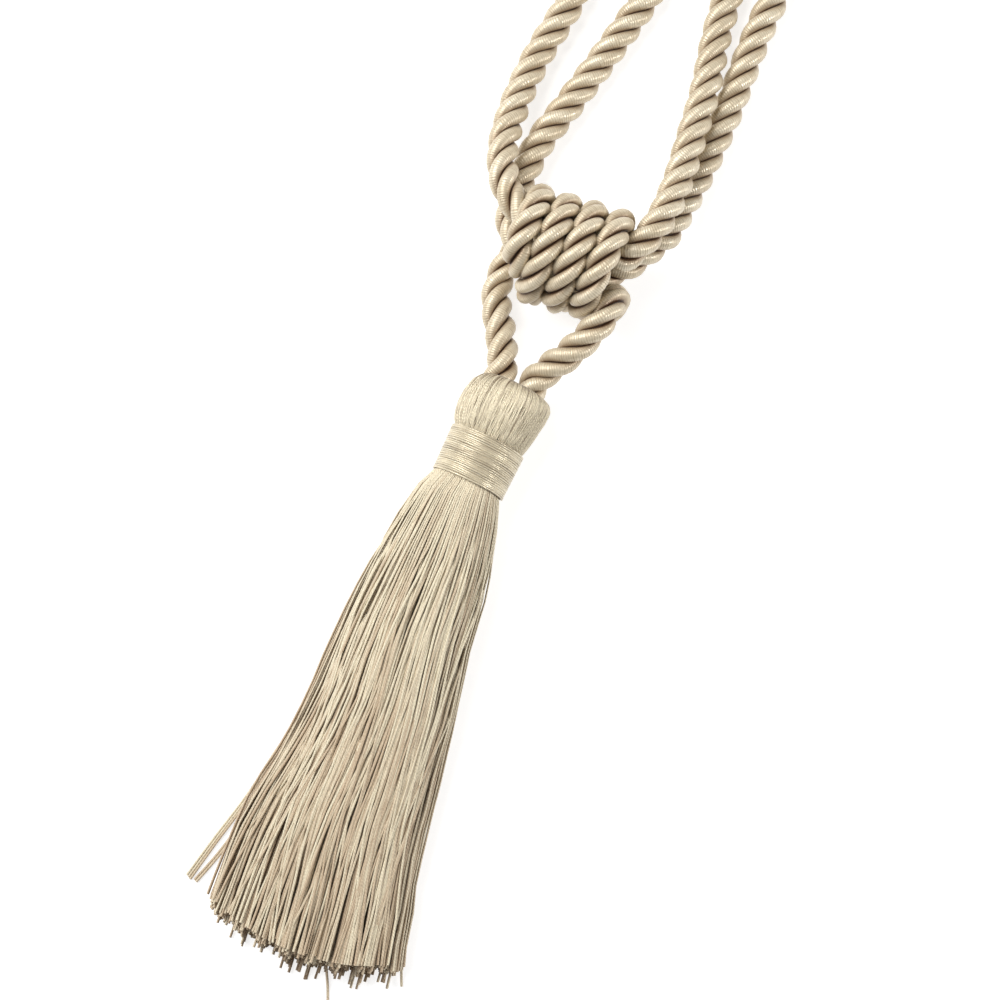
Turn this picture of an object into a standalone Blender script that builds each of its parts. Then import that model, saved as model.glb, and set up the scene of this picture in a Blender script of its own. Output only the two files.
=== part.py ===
"""Curtain tieback tassel, lying on its back on a flat surface.

A long twisted cord is doubled into two open loops. A hanger cord is wound four times round
the four runs of that cord, which makes the barrel knot, and both of its ends go down into the
head of a thread tassel. The tassel is one bundle of threads, folded over into a head, bound
round the neck and cut off square at the end of the skirt.

Metres, +Z up. The surface is z = 0, the skirt points to -Y and the loops to +Y. The origin is
on the flat underside of the skirt, half way along it.
"""

import math
from typing import NamedTuple

import bmesh
import bpy
from mathutils import Vector

# ---- cord ----
CORD_BEND = math.radians(16.0)  # most that the doubled cord's tube turns at one point
CORD_REST = 0.0045  # height of a cord's centre where it lies on the surface
REST_GAP = 0.0002  # least height of the tube over the surface elsewhere
CORD_BEVEL = 3  # steps in each quarter of the tube

# ---- knot: turns of the hanger cord round a level axis ----
KNOT_CENTRE = Vector((0.0040, 0.1390, 0.0168))
KNOT_TURN = math.radians(3.0)  # how far the knot's axis is turned from +X towards +Y
WRAP_RADIUS = 0.0126  # from the knot's axis to the wound cord's centre
WRAP_CORD_RADIUS = 0.00335  # the wound cord is pulled thin
WRAP_PITCH = 0.0076
WRAP_STEP = 24  # degrees between points of a turn
WRAP_START, WRAP_END = 10, 1378  # degrees, from the underside of the knot over its +Y side
FIRST_TURN = -0.0129  # place of the first turn along the knot's axis
ADVANCE_FROM, ADVANCE_OVER = 260, 130  # degrees over which a turn steps on to the next
TURN_LEAN = 0.0019  # the turns lean to -X at their lower end
TUCK_FROM, TUCK_OVER = 190, 130  # degrees over which the first turn is drawn in under the second
TUCK, TUCK_SHIFT = 0.0036, 0.0006

# ---- tassel ----
LEAN = math.radians(5.5)  # head and neck lean to +X
LEAN_ENDS = 0.040  # the skirt runs straight along Y from here down
NECK_Y = 0.070  # lower edge of the binding
AXIS_Z = 0.0126  # height of the head's and the binding's axis
AROUND_TOP = 66  # points across the ribbed upper side of the bundle
AROUND_FOOT = 10  # points across its underside
RIB_DEPTH = 0.0009
RIBS = 11  # creases in half a turn
RIB_WANDER = 9.0  # radians by which the creases drift round, per neck height
RIB_SHARPNESS = 0.6
RIB_FADE, RIB_SIDE = 1.4, 0.4  # the creases fade out below the widest line
FOOT_SPREAD = 2.0  # how soon the underside turns flat
END_BOW = 0.0062  # the cut end is bowed: its corners lie this far back
END_STEP = 0.0025  # the lower threads reach this much further

# ---- neck binding ----
BIND_INNER = 0.0097
BIND_OUTER_LOW, BIND_OUTER_HIGH = 0.01060, 0.01090
BIND_FROM, BIND_TO = 0.0002, 0.0134  # along the leaning axis, from the lower edge
BIND_EDGE = 0.0003
BIND_STEPS = 60


class Section(NamedTuple):
    """One section across the thread bundle."""

    y: float  # along the tassel
    centre: float  # x of its middle
    half_width: float
    top: float  # z of its highest line
    side: float  # z of its widest line
    foot: float  # z of its underside
    flat: float  # 1 for a round underside, FOOT_SPREAD for one that lies flat
    rib: float  # share of RIB_DEPTH


def round_section(along, radius):
    """A round section of the head or neck, this far up the leaning axis."""
    return Section(
        NECK_Y + along * math.cos(LEAN),
        along * math.sin(LEAN),
        radius,
        AXIS_Z + radius,
        AXIS_Z,
        AXIS_Z - radius,
        1.0,
        0.0,
    )


HEAD = [  # along the leaning axis from the binding's lower edge, radius
    (0.0303, 0.0088),
    (0.0297, 0.0101),
    (0.0277, 0.0114),
    (0.0247, 0.0123),
    (0.0212, 0.0125),
    (0.0182, 0.0122),
    (0.0155, 0.0116),
    (0.0143, 0.0106),
    (0.0138, 0.0093),
    (0.0070, 0.0093),
    (-0.0002, 0.0093),
]

SKIRT = [
    Section(0.0690, -0.0002, 0.0104, 0.0229, 0.0124, 0.0021, 1.0, 0.0),
    Section(0.0650, -0.0007, 0.0121, 0.0236, 0.0120, 0.0007, 1.2, 0.2),
    Section(0.0595, -0.0008, 0.0136, 0.0238, 0.0114, 0.0000, 1.6, 0.4),
    Section(0.0540, -0.0008, 0.0147, 0.0237, 0.0108, 0.0000, FOOT_SPREAD, 0.5),
    Section(0.0485, -0.0010, 0.0155, 0.0234, 0.0102, 0.0000, FOOT_SPREAD, 0.6),
    Section(0.0382, -0.0014, 0.0168, 0.0227, 0.0094, 0.0000, FOOT_SPREAD, 0.7),
    Section(0.0273, -0.0017, 0.0178, 0.0219, 0.0087, 0.0000, FOOT_SPREAD, 0.8),
    Section(0.0165, -0.0014, 0.0189, 0.0211, 0.0081, 0.0000, FOOT_SPREAD, 0.8),
    Section(0.0057, -0.0008, 0.0200, 0.0203, 0.0075, 0.0000, FOOT_SPREAD, 0.9),
    Section(-0.0050, -0.0008, 0.0210, 0.0195, 0.0070, 0.0000, FOOT_SPREAD, 0.9),
    Section(-0.0157, -0.0011, 0.0225, 0.0187, 0.0066, 0.0000, FOOT_SPREAD, 1.0),
    Section(-0.0264, -0.0017, 0.0241, 0.0180, 0.0062, 0.0000, FOOT_SPREAD, 1.0),
    Section(-0.0370, -0.0014, 0.0257, 0.0173, 0.0059, 0.0000, FOOT_SPREAD, 1.0),
    Section(-0.0476, -0.0006, 0.0271, 0.0166, 0.0056, 0.0000, FOOT_SPREAD, 1.0),
    Section(-0.0650, 0.0004, 0.0282, 0.0157, 0.0054, 0.0000, FOOT_SPREAD, 1.0),
]

# ---- route of the doubled cord: x, y, z, radius of the tube there ----
DOUBLED_CORD = [
    # inside the knot, out at its left end and up along the outer left run
    (0.0064, 0.1414, 0.0206, 0.0038),
    (-0.0017, 0.1409, 0.0206, 0.0038),
    (-0.0074, 0.1408, 0.0206, 0.0038),
    (-0.0172, 0.1468, 0.0195, 0.0039),
    (-0.0207, 0.1529, 0.0174, 0.0042),
    (-0.0228, 0.1611, 0.0138, 0.0043),
    (-0.0240, 0.1731, 0.0087, 0.0044),
    (-0.0232, 0.1916, 0.0048, 0.0044),
    (-0.0198, 0.2100, 0.0045, 0.0044),
    # far end of the outer loop
    (-0.0181, 0.2315, 0.0045, 0.0044),
    (-0.0215, 0.2690, 0.0045, 0.0044),
    (-0.0272, 0.3060, 0.0045, 0.0044),
    (-0.0252, 0.3370, 0.0045, 0.0044),
    (-0.0145, 0.3612, 0.0045, 0.0044),
    (0.0098, 0.3742, 0.0045, 0.0044),
    (0.0340, 0.3622, 0.0045, 0.0044),
    (0.0446, 0.3385, 0.0045, 0.0044),
    (0.0448, 0.3030, 0.0045, 0.0044),
    (0.0374, 0.2570, 0.0045, 0.0044),
    # down along the outer right run and through the knot
    (0.0335, 0.2208, 0.0045, 0.0044),
    (0.0327, 0.1915, 0.0048, 0.0044),
    (0.0309, 0.1727, 0.0064, 0.0044),
    (0.0294, 0.1625, 0.0090, 0.0044),
    (0.0280, 0.1549, 0.0112, 0.0042),
    (0.0250, 0.1493, 0.0124, 0.0039),
    (0.0200, 0.1418, 0.0131, 0.0038),
    (0.0131, 0.1368, 0.0130, 0.0038),
    (-0.0031, 0.1364, 0.0130, 0.0037),
    (-0.0100, 0.1375, 0.0125, 0.0037),
    # up along the inner left run
    (-0.0161, 0.1428, 0.0106, 0.0038),
    (-0.0174, 0.1497, 0.0086, 0.0039),
    (-0.0162, 0.1569, 0.0069, 0.0042),
    (-0.0146, 0.1675, 0.0056, 0.0043),
    (-0.0099, 0.1829, 0.0046, 0.0044),
    (-0.0043, 0.2023, 0.0045, 0.0044),
    # far end of the inner loop
    (0.0014, 0.2263, 0.0045, 0.0044),
    (0.0003, 0.2620, 0.0045, 0.0044),
    (-0.0080, 0.2930, 0.0045, 0.0044),
    (-0.0086, 0.3150, 0.0045, 0.0044),
    (-0.0026, 0.3310, 0.0045, 0.0044),
    (0.0103, 0.3378, 0.0045, 0.0044),
    (0.0228, 0.3308, 0.0045, 0.0044),
    (0.0288, 0.3145, 0.0045, 0.0044),
    (0.0282, 0.2930, 0.0045, 0.0044),
    (0.0228, 0.2580, 0.0045, 0.0044),
    # down along the inner right run, which climbs over the outer one, and back into the knot
    (0.0224, 0.2186, 0.0050, 0.0044),
    (0.0249, 0.1965, 0.0094, 0.0044),
    (0.0255, 0.1838, 0.0124, 0.0044),
    (0.0260, 0.1677, 0.0168, 0.0044),
    (0.0250, 0.1563, 0.0206, 0.0042),
    (0.0229, 0.1494, 0.0221, 0.0039),
    (0.0179, 0.1421, 0.0211, 0.0038),
    (0.0124, 0.1418, 0.0206, 0.0038),
    (0.0084, 0.1415, 0.0206, 0.0038),
]

# ---- route of the hanger cord, before and after its turns round the knot ----
HANGER_LEFT = [
    (-0.0019, 0.1016, 0.0127, 0.0042),
    (-0.0019, 0.1036, 0.0126, 0.0042),
    (-0.0027, 0.1065, 0.0118, 0.0043),
    (-0.0040, 0.1095, 0.0106, 0.0043),
    (-0.0064, 0.1148, 0.0086, 0.0043),
    (-0.0095, 0.1207, 0.0063, 0.0042),
    (-0.0117, 0.1266, 0.0041, 0.0036),
    (-0.0125, 0.1322, 0.0038, 0.0032),
]
HANGER_RIGHT = [
    (0.0178, 0.1284, 0.0062, 0.0034),
    (0.0198, 0.1301, 0.0045, 0.0034),
    (0.0208, 0.1319, 0.0060, 0.0034),
    (0.0211, 0.1329, 0.0098, 0.0034),
    (0.0210, 0.1326, 0.0142, 0.0034),
    (0.0206, 0.1310, 0.0178, 0.0034),
    (0.0201, 0.1281, 0.0202, 0.0034),
    (0.0194, 0.1246, 0.0211, 0.0036),
    (0.0173, 0.1192, 0.0200, 0.0041),
    (0.0140, 0.1130, 0.0175, 0.0043),
    (0.0103, 0.1077, 0.0149, 0.0043),
    (0.0083, 0.1044, 0.0133, 0.0043),
    (0.0077, 0.1026, 0.0128, 0.0042),
    (0.0075, 0.1007, 0.0127, 0.0042),
]


def clear_scene():
    for thing in list(bpy.data.objects):
        bpy.data.objects.remove(thing, do_unlink=True)


def material(name, colour, roughness):
    """A plain yarn finish. colour is linear red, green and blue."""
    finish = bpy.data.materials.new(name)
    finish.use_nodes = True
    shader = finish.node_tree.nodes["Principled BSDF"]
    shader.inputs["Base Color"].default_value = (*colour, 1.0)
    shader.inputs["Roughness"].default_value = roughness
    return finish


def ease(share):
    """0 to 1 with a level start and end."""
    share = min(1.0, max(0.0, share))
    return share * share * (3.0 - 2.0 * share)


# ---- cords ----


def smooth_route(points, most_bend):
    """The route's own points, with more between them where it bends, read from a smooth curve
    through them all."""
    places = [Vector(point) for point in points]
    chords = [(b - a).xyz.length for a, b in zip(places, places[1:])]
    slopes = [Vector((0.0, 0.0, 0.0, 0.0)) for _ in places]
    for i in range(1, len(places) - 1):
        before, after = chords[i - 1], chords[i]
        into = (places[i] - places[i - 1]) / before
        out = (places[i + 1] - places[i]) / after
        slopes[i] = (into * after + out * before) / (before + after)
    slopes[0] = (places[1] - places[0]) / chords[0] * 1.5 - slopes[1] / 2
    slopes[-1] = (places[-1] - places[-2]) / chords[-1] * 1.5 - slopes[-2] / 2
    route = []
    for i, chord in enumerate(chords):
        bend = slopes[i].xyz.angle(slopes[i + 1].xyz)
        pieces = max(1, math.ceil(bend / most_bend))
        for k in range(pieces):
            t = k / pieces
            point = (
                places[i] * (2 * t**3 - 3 * t**2 + 1)
                + slopes[i] * (chord * (t**3 - 2 * t**2 + t))
                + places[i + 1] * (3 * t**2 - 2 * t**3)
                + slopes[i + 1] * (chord * (t**3 - t**2))
            )
            route.append(point)
    route.append(places[-1])
    return [(p.x, p.y, max(p.z, min(CORD_REST, p.w + REST_GAP)), p.w) for p in route]


def knot_turns():
    """The hanger cord's turns round the knot, from the underside of its left end."""
    along = Vector((math.cos(KNOT_TURN), math.sin(KNOT_TURN), 0.0))
    across = Vector((-math.sin(KNOT_TURN), math.cos(KNOT_TURN), 0.0))
    square = 360 - ADVANCE_OVER  # degrees of each turn that stay square to the axis
    turns = []
    for angle in range(WRAP_START, WRAP_END + 1, WRAP_STEP):
        turn, part = divmod(angle - ADVANCE_FROM + square, 360)
        step = ease((part - square) / ADVANCE_OVER)
        phi = math.radians(angle)
        share = min(1.0, max(0.0, (angle - TUCK_FROM) / TUCK_OVER))
        tuck = math.sin(math.pi * share)
        reach = WRAP_RADIUS - TUCK * tuck
        shift = TURN_LEAN * math.sin(phi) + TUCK_SHIFT * tuck
        shift += FIRST_TURN + WRAP_PITCH * (turn + step)
        place = KNOT_CENTRE + along * shift + across * (reach * math.sin(phi))
        turns.append((place.x, place.y, place.z - reach * math.cos(phi), WRAP_CORD_RADIUS))
    return turns


def cord(name, route, finish):
    """A tube along the route, with filled ends."""
    curve = bpy.data.curves.new(name, "CURVE")
    curve.dimensions = "3D"
    curve.bevel_depth = 1.0
    curve.bevel_resolution = CORD_BEVEL
    curve.use_fill_caps = True
    spline = curve.splines.new("POLY")
    spline.points.add(len(route) - 1)
    for point, (x, y, z, radius) in zip(spline.points, route):
        point.co = (x, y, z, 1.0)
        point.radius = radius
    tube = bpy.data.objects.new(name, curve)
    curve.materials.append(finish)
    bpy.context.collection.objects.link(tube)
    return tube


# ---- thread bundle ----


def ring_angles():
    """Angles round a section from its right side over the top: close together on the ribbed
    upper side, wide apart on the underside."""
    low = math.radians(-24)
    span = math.pi - 2 * low
    upper = [low + span * k / AROUND_TOP for k in range(AROUND_TOP)]
    rest = 2 * math.pi - span
    under = [low + span + rest * k / AROUND_FOOT for k in range(AROUND_FOOT)]
    return upper + under


def section_lean(y):
    """How far a section is turned: square to the leaning neck, square to Y down the skirt."""
    return LEAN * ease((y - LEAN_ENDS) / (NECK_Y - LEAN_ENDS))


def section_point(section, angle, is_end):
    """One point of a section's outline."""
    c, s = math.cos(angle), math.sin(angle)
    crease = abs(math.sin(RIBS * angle + RIB_WANDER * section.y / NECK_Y)) ** RIB_SHARPNESS
    upper = max(0.0, min(1.0, RIB_FADE * s + RIB_SIDE))
    rib = RIB_DEPTH * section.rib * (crease - 1.0) * upper
    across = (section.half_width + rib) * c
    if s >= 0:
        z = section.side + (section.top - section.side + rib) * s
    else:
        z = section.side + (section.side - section.foot) * max(-1.0, section.flat * s)
    lean = section_lean(section.y)
    x = section.centre + across * math.cos(lean)
    y = section.y - across * math.sin(lean)
    if is_end:
        share = min(1.0, abs(across) / section.half_width)
        height = (z - section.foot) / (section.top - section.foot)
        y += END_BOW * share**2 + END_STEP * (height - 0.5)
    return Vector((x, y, z))


def thread_bundle(finish):
    """Head, neck and skirt in one: a sheet of sections rolled up, its seam merged, its two
    ends closed."""
    sections = [round_section(*row) for row in HEAD] + SKIRT
    angles = ring_angles()
    mesh = bmesh.new()
    bmesh.ops.create_grid(mesh, x_segments=len(angles), y_segments=len(sections) - 1, size=0.5)
    for vert in mesh.verts:
        column = round((vert.co.x + 0.5) * len(angles)) % len(angles)
        row = round((0.5 - vert.co.y) * (len(sections) - 1))
        is_end = row == len(sections) - 1
        vert.co = section_point(sections[row], angles[column], is_end)
    bmesh.ops.remove_doubles(mesh, verts=mesh.verts, dist=1e-7)
    ends = [edge for edge in mesh.edges if edge.is_boundary]
    caps = bmesh.ops.holes_fill(mesh, edges=ends, sides=0)["faces"]
    bmesh.ops.poke(mesh, faces=caps)
    bmesh.ops.recalc_face_normals(mesh, faces=mesh.faces)
    return solid("tassel_bundle", mesh, finish)


def neck_binding(finish):
    """The thread wound round the neck: a thin ring, turned about the leaning axis."""
    outline = [
        (BIND_INNER, BIND_FROM),
        (BIND_OUTER_LOW - BIND_EDGE, BIND_FROM),
        (BIND_OUTER_LOW, BIND_FROM + BIND_EDGE),
        ((BIND_OUTER_LOW + BIND_OUTER_HIGH) / 2, (BIND_FROM + BIND_TO) / 2),
        (BIND_OUTER_HIGH, BIND_TO - BIND_EDGE),
        (BIND_OUTER_HIGH - BIND_EDGE, BIND_TO),
        (BIND_INNER, BIND_TO),
    ]
    lean_axis = Vector((math.sin(LEAN), math.cos(LEAN), 0.0))
    across = Vector((math.cos(LEAN), -math.sin(LEAN), 0.0))
    middle = Vector((0.0, NECK_Y, AXIS_Z))
    mesh = bmesh.new()
    verts = [mesh.verts.new(middle + across * radius + lean_axis * along) for radius, along in outline]
    edges = [mesh.edges.new((a, b)) for a, b in zip(verts, verts[1:] + verts[:1])]
    bmesh.ops.spin(
        mesh,
        geom=verts + edges,
        cent=middle,
        axis=lean_axis,
        angle=2 * math.pi,
        steps=BIND_STEPS,
        use_merge=True,
    )
    bmesh.ops.remove_doubles(mesh, verts=mesh.verts, dist=1e-7)
    bmesh.ops.recalc_face_normals(mesh, faces=mesh.faces)
    return solid("neck_binding", mesh, finish)


def solid(name, mesh, finish):
    data = bpy.data.meshes.new(name)
    mesh.to_mesh(data)
    mesh.free()
    data.materials.append(finish)
    data.shade_smooth()
    data.set_sharp_from_angle(angle=math.radians(40))
    thing = bpy.data.objects.new(name, data)
    bpy.context.collection.objects.link(thing)
    return thing


def main():
    clear_scene()
    cord_yarn = material("cord_yarn", (0.60, 0.44, 0.27), 0.42)
    tassel_yarn = material("tassel_yarn", (0.68, 0.59, 0.39), 0.50)
    binding_yarn = material("binding_yarn", (0.52, 0.41, 0.25), 0.32)
    thread_bundle(tassel_yarn)
    neck_binding(binding_yarn)
    cord("doubled_cord", smooth_route(DOUBLED_CORD, CORD_BEND), cord_yarn)
    cord("hanger_cord", HANGER_LEFT + knot_turns() + HANGER_RIGHT, cord_yarn)


main()
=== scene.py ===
"""Looks of the curtain tieback tassel: twisted cords, wound binding, folded head and skirt.

Metres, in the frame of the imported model: the skirt points to -Y, the loops to +Y, and the
whole lies on its back on the surface z = 0.
"""

import math
from typing import NamedTuple

import bmesh
import bpy
import numpy as np
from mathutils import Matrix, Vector


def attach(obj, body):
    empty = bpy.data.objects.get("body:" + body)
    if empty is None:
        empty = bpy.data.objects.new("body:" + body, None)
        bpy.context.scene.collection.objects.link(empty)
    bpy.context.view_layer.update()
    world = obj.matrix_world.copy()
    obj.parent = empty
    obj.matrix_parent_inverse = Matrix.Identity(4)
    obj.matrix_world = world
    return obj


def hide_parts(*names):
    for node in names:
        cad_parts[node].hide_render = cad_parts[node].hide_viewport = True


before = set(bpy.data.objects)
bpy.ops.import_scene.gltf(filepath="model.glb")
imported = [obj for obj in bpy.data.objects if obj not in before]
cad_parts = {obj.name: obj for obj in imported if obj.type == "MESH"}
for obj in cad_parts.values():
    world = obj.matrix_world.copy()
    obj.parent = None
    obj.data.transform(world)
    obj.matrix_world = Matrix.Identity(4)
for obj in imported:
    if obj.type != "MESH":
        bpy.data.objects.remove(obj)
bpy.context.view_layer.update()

# ---- cord ----
CORD_RADIUS = 0.0045  # over the crowns of the strands
TUBE_RADIUS = 0.0044  # what the route's tables call a cord at its full thickness
SQUEEZE = 0.38  # how much of the tables' thinning a real cord takes
CORD_REST = 0.0045  # height of a cord's centre where it lies on the surface
REST_GAP = 0.0002
STRANDS = 3
STRAND_OFFSET, STRAND_RADIUS = 0.548, 0.455  # shares of the cord's radius
STRAND_SIDES = 18
CORE_RADIUS = 0.30  # share of the cord's radius
LAY = 0.0207  # length of one turn of the strands
CORD_POINT = 0.0010  # spacing of the points along a cord
PATH_STEP = 4  # every fourth of them is taken into a list that is not used
RIDGE_PITCH = 0.00056  # from one turn of a strand's wrapping thread to the next
CORD_PALE, CORD_TAN = (0.81, 0.72, 0.55), (0.66, 0.56, 0.40)
CORD_LINE_SHADE = (0.38, 0.285, 0.17)  # painted shade between two turns of the wrapping thread
CORD_FLANK_SHADE = (0.33, 0.225, 0.13)  # painted shade where a strand turns in under the next one
CORD_GAP_SHADE = (0.105, 0.050, 0.022)  # painted shade deep between the strands

# ---- knot: turns of the hanger cord round a level axis ----
KNOT_CENTRE = Vector((0.0040, 0.1390, 0.0168))
KNOT_TURN = math.radians(3.0)
WRAP_RADIUS = 0.0126
WRAP_CORD_RADIUS = 0.00335
WRAP_PITCH = 0.0076
WRAP_STEP = 24
WRAP_START, WRAP_END = 10, 1378
FIRST_TURN = -0.0129
ADVANCE_FROM, ADVANCE_OVER = 260, 130
TURN_LEAN = 0.0019
# the first turn slips in under the second one
SLIP_FROM, SLIP_OVER = 190, 95
TUCK_FROM, TUCK_TO, TUCK_OVER = 195, 310, 70
TUCK = 0.0044

# ---- tassel ----
LEAN = math.radians(5.5)
LEAN_ENDS = 0.040
NECK_Y = 0.070
AXIS_Z = 0.0126
FOOT_SPREAD = 2.0
END_BOW = 0.0062
END_STEP = 0.0025
LEAN_AXIS = np.array((math.sin(LEAN), math.cos(LEAN), 0.0))
LEAN_SIDE = np.array((math.cos(LEAN), -math.sin(LEAN), 0.0))
NECK_CENTRE = np.array((0.0, NECK_Y, AXIS_Z))

# ---- threads of the skirt ----
THREADS = 1240
THREAD_ROWS = 22
THREAD_SIDES = 6
THREAD_NECK, THREAD_END = 0.00024, 0.00036  # half the spacing at the neck and at the cut end
THREAD_FILL = 1.10  # threads are soft and press into each other
THREAD_SWAY = 0.00014
THREAD_DRIFT = 0.00042  # slow wander of a thread across its neighbours
THREAD_BULK = (0.8, 1.15)  # thinnest and thickest thread, as shares of the usual one
PACK_ROUNDS = 14
PACK_PUSH = 0.3
SETTLE, FIRST_SETTLE = 0.00006, 0.0001  # how far a thread strays from one section to the next
BUNCH = 0.00022  # how far threads gather sideways in bunches
CUT_RAGGED = 0.0007
LONG_SHARE, LONG_BY = 0.08, (0.001, 0.005)  # threads left longer on the underside
LOW_SHADE_OVER, LOW_SHADE_MOST = 0.075, 0.78  # painted shade: the skirt is painted tan over this length below the neck, for the shade between its parted threads
CROSSINGS = 130  # threads that lie across their neighbours
CROSS_START, CROSS_LENGTH = (-0.010, 0.062), (0.045, 0.090)
CROSS_DRIFT = (0.05, 0.32)
CROSS_EDGE = 0.93  # they stay within this share of the skirt's half width
CROSS_WHOLE = 0.6  # share of them that stay on top down to the cut end
CROSS_SINK, CROSS_RISE = 0.0016, (0.0015, 0.0021)
LOOSE_THICK = (0.00030, 0.00041)
LOOSE_SIDES = 8
# painted shade: the loose threads too are painted tan below the neck
LOOSE_LOW_SHADE_OVER, LOOSE_LOW_SHADE_MOST = 0.08, 0.65
STRAY_RADIUS = 0.0004
STRAY_ROWS = 26
STRAY_BUNCH = (3, 2, 1, 1)
STRAY_SIDE = 0.00055  # from one loose thread to the next beside it
STRAYS = [  # threads that have come loose, some of them in pairs: x, y, z
    [(-0.0200, -0.0020, 0.0065), (-0.0236, -0.0130, 0.0040), (-0.0277, -0.0302, 0.0016),
     (-0.0321, -0.0442, 0.0008), (-0.0354, -0.0556, 0.0007)],
    [(-0.0195, -0.0120, 0.0075), (-0.0226, -0.0240, 0.0045), (-0.0256, -0.0340, 0.0022),
     (-0.0294, -0.0469, 0.0009), (-0.0330, -0.0561, 0.0007)],
    [(0.0020, -0.0450, 0.0110), (0.0062, -0.0590, 0.0050), (0.0092, -0.0665, 0.0016),
     (0.0112, -0.0710, 0.0007), (0.0126, -0.0748, 0.0006)],
    [(0.0200, -0.0250, 0.0070), (0.0232, -0.0400, 0.0060), (0.0262, -0.0530, 0.0042),
     (0.0285, -0.0600, 0.0020), (0.0300, -0.0640, 0.0007)],
]

# ---- binding ----
BIND_PITCH = 0.00055
BIND_THREAD = 0.00029
BIND_STEPS = 60
BIND_SIDES = 8
BIND_TONES = (0.38, 0.62)  # palest and darkest turn
BIND_WARMTH = 0.24
BIND_FROM, BIND_TO = 0.0003, 0.0133
BIND_LOW, BIND_HIGH = 0.01030, 0.01064

# ---- head ----
HEAD_THREADS = 230
HEAD_ROWS = 30
HEAD_SIDES = 6
HEAD_FILL = 0.74  # a thread's radius as a share of the spacing
CROWN_SHADE_FROM, CROWN_SHADE_OVER = 0.54, 0.2  # where along its threads the head is painted brown, as shade where they fold into the crown
CORE_UNDER = 0.0006  # how far the inner threads lie under the outer ones
CORE_STEPS = 72
HEAD_PROFILE = np.array([  # along the leaning axis from the binding's lower edge, radius
    (0.0125, 0.00960),
    (0.0139, 0.01020),
    (0.0156, 0.01085),
    (0.0180, 0.01150),
    (0.0212, 0.01205),
    (0.0236, 0.01225),
    (0.0260, 0.01205),
    (0.0281, 0.01120),
    (0.0296, 0.00960),
    (0.0303, 0.00760),
    (0.0300, 0.00560),
    (0.0282, 0.00440),
    (0.0262, 0.00400),
])
HEAD_FOOT, HEAD_TOP = 0.0139, 0.0303
HEAD_WIDEST = 0.01225
HEAD_SKEW = 0.0027  # its right shoulder stands higher than its left one


# ---- tones of the threads ----
PALE, TAN, BROWN = (0.83, 0.74, 0.545), (0.60, 0.465, 0.315), (0.20, 0.135, 0.075)
GAP_SHADE = (0.19, 0.12, 0.065)  # painted shade in the crevice between two threads; the grain's dark flecks take it too
# painted shade: the head's inner threads are coloured dark for the shade between the outer ones
INNER_SHADE_DARK, INNER_SHADE_PALE = (0.17, 0.11, 0.055), (0.36, 0.27, 0.15)
TWIST = 1100.0  # turns of a thread's plies in a metre, for the pattern on it

# ---- meshes ----
SHARP_ANGLE = math.radians(75)
MERGE = 1e-7  # points closer than this are one

# ---- floor and light: a light's place is to the right, up and above, seen by the camera ----
WHITE = (1.0, 1.0, 1.0)
FLOOR_TONE, FLOOR_GLOW, FLOOR_HALF = (0.5, 0.5, 0.5), 0.72, 6.0
KEY_PLACE, KEY_SIZE, KEY_WATTS = (-0.62, 0.42, 0.85), (1.0, 1.0), 17.5
EDGE_PLACE, EDGE_SIZE, EDGE_WATTS = (0.85, 0.05, 0.36), (0.07, 0.5), 4.5
ROOM_LIGHT = 0.21


class Section(NamedTuple):
    """One section across the thread bundle."""

    y: float  # along the tassel
    centre: float  # x of its middle
    half_width: float
    top: float  # z of its highest line
    side: float  # z of its widest line
    foot: float  # z of its underside
    flat: float  # 1 for a round underside, FOOT_SPREAD for one that lies flat


SKIRT = [
    Section(0.0720, 0.0000, 0.0092, 0.0217, 0.0126, 0.0034, 1.0),
    Section(0.0690, -0.0002, 0.0104, 0.0229, 0.0124, 0.0021, 1.0),
    Section(0.0650, -0.0007, 0.0121, 0.0236, 0.0120, 0.0007, 1.2),
    Section(0.0595, -0.0008, 0.0136, 0.0238, 0.0114, 0.0000, 1.6),
    Section(0.0485, -0.0010, 0.0155, 0.0234, 0.0102, 0.0000, FOOT_SPREAD),
    Section(0.0382, -0.0014, 0.0168, 0.0227, 0.0094, 0.0000, FOOT_SPREAD),
    Section(0.0273, -0.0017, 0.0178, 0.0219, 0.0087, 0.0000, FOOT_SPREAD),
    Section(0.0165, -0.0014, 0.0189, 0.0211, 0.0081, 0.0000, FOOT_SPREAD),
    Section(0.0057, -0.0008, 0.0200, 0.0203, 0.0075, 0.0000, FOOT_SPREAD),
    Section(-0.0050, -0.0008, 0.0210, 0.0195, 0.0070, 0.0000, FOOT_SPREAD),
    Section(-0.0157, -0.0011, 0.0225, 0.0187, 0.0066, 0.0000, FOOT_SPREAD),
    Section(-0.0264, -0.0017, 0.0241, 0.0180, 0.0062, 0.0000, FOOT_SPREAD),
    Section(-0.0370, -0.0014, 0.0257, 0.0173, 0.0059, 0.0000, FOOT_SPREAD),
    Section(-0.0476, -0.0006, 0.0271, 0.0166, 0.0056, 0.0000, FOOT_SPREAD),
    Section(-0.0650, 0.0004, 0.0282, 0.0157, 0.0054, 0.0000, FOOT_SPREAD),
]

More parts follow.
